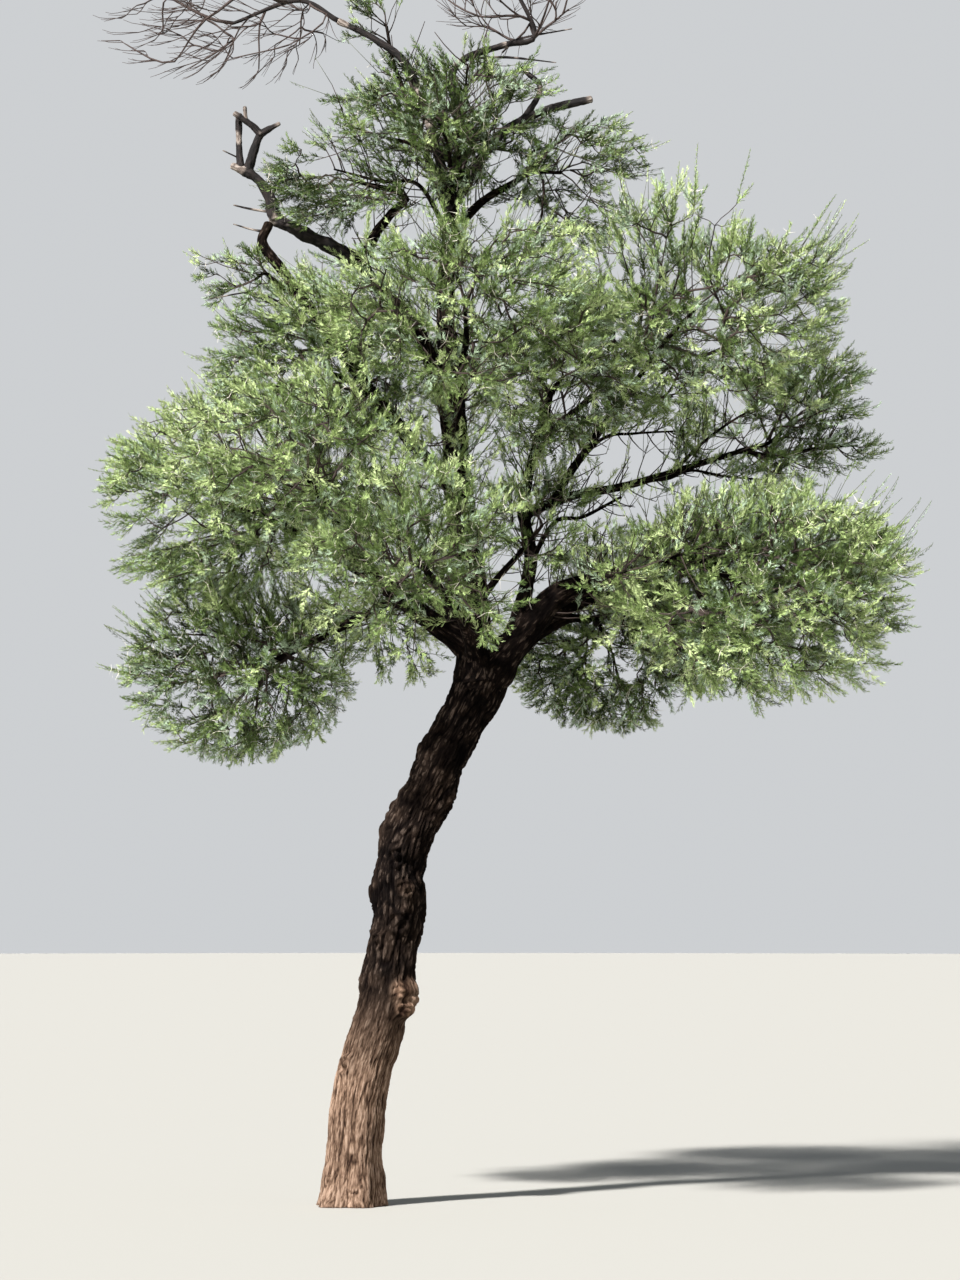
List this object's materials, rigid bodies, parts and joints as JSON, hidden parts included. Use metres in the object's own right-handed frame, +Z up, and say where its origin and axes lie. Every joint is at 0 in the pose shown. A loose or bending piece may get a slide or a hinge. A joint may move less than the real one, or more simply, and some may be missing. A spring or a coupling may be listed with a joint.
{
  "type": "acacia tree",
  "caption": "Thorn tree with a leaning trunk on a flat ground cut, spreading boughs, tiered feathery foliage and dead branches in its top.",
  "frame": {"origin": "middle of the trunk's foot, on its flat cut at ground level", "axes": "+Z up, +X towards the side the trunk leans to, the picture's right, +Y away from the picture's camera"},
  "size_m": [4.0988, 3.2386, 6.4602],
  "materials": {
    "bark": "deeply fissured grey-brown bark",
    "dead_wood": "weathered dead wood, bark partly gone",
    "foliage": "matt feathery leaves on thin twigs",
    "bare_twigs": "dry leafless twigs"
  },
  "bodies": {
    "root": {"trunk": "bark", "leader": "bark", "right_main_bough": "bark", "low_right_bough": "bark", "upright_bough": "bark", "long_right_bough": "bark", "right_upper_bough": "bark", "upper_back_bough": "bark", "right_back_bough": "bark", "inner_bough": "bark", "left_low_bough": "bark", "left_lower_bough": "bark", "left_front_bough": "bark", "left_back_bough": "bark", "left_mid_bough": "bark", "low_front_bough": "bark", "low_back_bough": "bark", "front_mid_bough": "bark", "back_mid_bough": "bark", "knot_bough": "bark", "tower_left_bough": "bark", "tower_right_bough": "bark", "hooked_bough": "bark", "shoulder_bough": "bark", "dead_arm_left": "dead_wood", "dead_arm_right": "dead_wood", "spire_bough": "bark", "broken_stub": "dead_wood", "stub_riser": "dead_wood", "twisted_arm_lower": "dead_wood", "twisted_arm_upper": "dead_wood", "prong_left": "dead_wood", "prong_right": "dead_wood", "prong_bar": "dead_wood", "crown_top": "foliage", "tower_right": "foliage", "tower_left": "foliage", "top_spire": "foliage", "left_shoulder": "foliage", "mid_front": "foliage", "mid_back": "foliage", "mid_left": "foliage", "right_upper": "foliage", "right_upper_back": "foliage", "upper_heart": "foliage", "right_far": "foliage", "inner_tuft": "foliage", "right_low": "foliage", "right_under": "foliage", "right_back": "foliage", "left_outer": "foliage", "left_lower": "foliage", "left_front": "foliage", "left_back": "foliage", "low_front": "foliage", "low_back": "foliage", "bare_left": "bare_twigs", "bare_top": "bare_twigs"}
  },
  "joints": []
}
